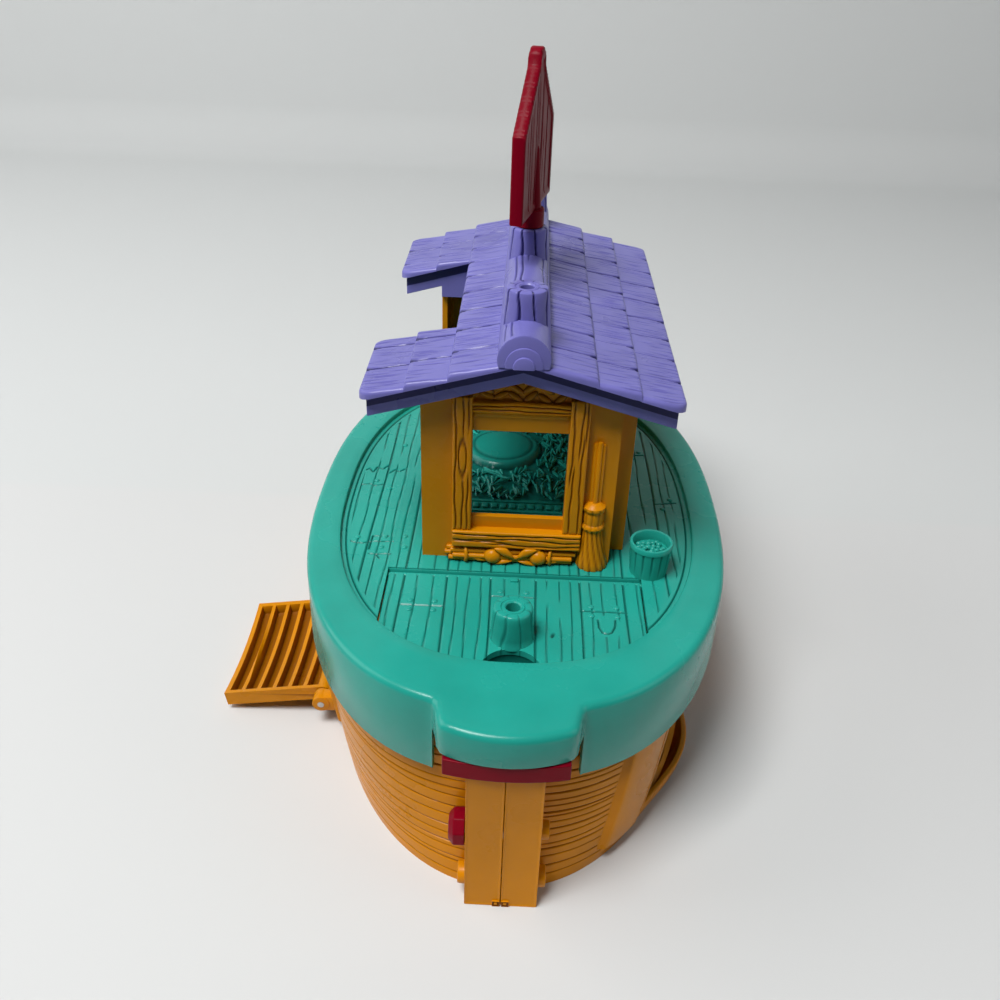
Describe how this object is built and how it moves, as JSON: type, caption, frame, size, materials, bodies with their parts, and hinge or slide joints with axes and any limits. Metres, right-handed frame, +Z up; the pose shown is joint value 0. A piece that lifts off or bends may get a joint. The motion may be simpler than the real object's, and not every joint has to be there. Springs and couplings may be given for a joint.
{
  "type": "toy ark",
  "caption": "Toy ark: planked hull with a hinged deck lid, a floor hatch, a shingle-roofed house, a fold-down ramp door, peg sockets and a turning sign on the ridge.",
  "frame": {"origin": "on the floor, under the middle of the deck and on the seam between the hull halves", "axes": "+Z up, -Y towards the bow, +Y towards the stern, -X towards the ramp"},
  "size_m": [0.22, 0.3043, 0.2736],
  "materials": {
    "amber_plastic": "satin, warm yellow moulded plastic with plank and wood-grain relief",
    "teal_plastic": "satin, sea-green moulded plastic with plank relief",
    "purple_plastic": "satin, lavender moulded plastic with shingle relief",
    "crimson_plastic": "glossy crimson moulded plastic",
    "steel": "plain steel pins, screws and spring"
  },
  "bodies": {
    "hull": {"hull_left": "amber_plastic", "hull_right": "amber_plastic", "hull_bottom": "amber_plastic", "stem_clip": "amber_plastic", "hull_screws": "steel", "deck_hinge_pin": "steel", "ramp_pins": "steel", "latch_spring": "steel"},
    "lid": {"deck": "teal_plastic", "house_front": "amber_plastic", "house_right": "amber_plastic", "house_rear": "amber_plastic", "house_screws": "steel", "roof": "purple_plastic", "roof_frame": "purple_plastic"},
    "hatch": {"hatch": "teal_plastic"},
    "sign": {"sign": "crimson_plastic"},
    "ramp": {"ramp_door": "amber_plastic"},
    "latch": {"bow_latch": "crimson_plastic"},
    "knob": {"bow_knob": "crimson_plastic", "knob_shaft": "steel"}
  },
  "joints": [
    {"name": "lid_hinge", "type": "hinge", "parent": "hull", "child": "lid", "pos_m": [0, 0.147, 0.054], "axis": [-1, 0, 0], "range_deg": [0, 80]},
    {"name": "hatch_hinge", "type": "hinge", "parent": "lid", "child": "hatch", "pos_m": [0, -0.0601, 0.086], "axis": [-1, 0, 0], "range_deg": [0, 65]},
    {"name": "ramp_hinge", "type": "hinge", "parent": "hull", "child": "ramp", "pos_m": [-0.084, -0.021, 0.013], "axis": [0, 1, 0], "range_deg": [0, 98.4]},
    {"name": "sign_swivel", "type": "hinge", "parent": "lid", "child": "sign", "pos_m": [0, 0.0365, 0.203], "axis": [0, 0, 1], "continuous": true},
    {"name": "latch_press", "type": "slide", "parent": "hull", "child": "latch", "axis": [0, 1, 0], "range_m": [0, 0.003], "stiffness_N_per_m": 400, "springref_m": -0.002, "deforming": ["latch_spring"]},
    {"name": "knob_turn", "type": "hinge", "parent": "hull", "child": "knob", "pos_m": [0, -0.143, 0.036], "axis": [1, 0, 0], "continuous": true}
  ]
}
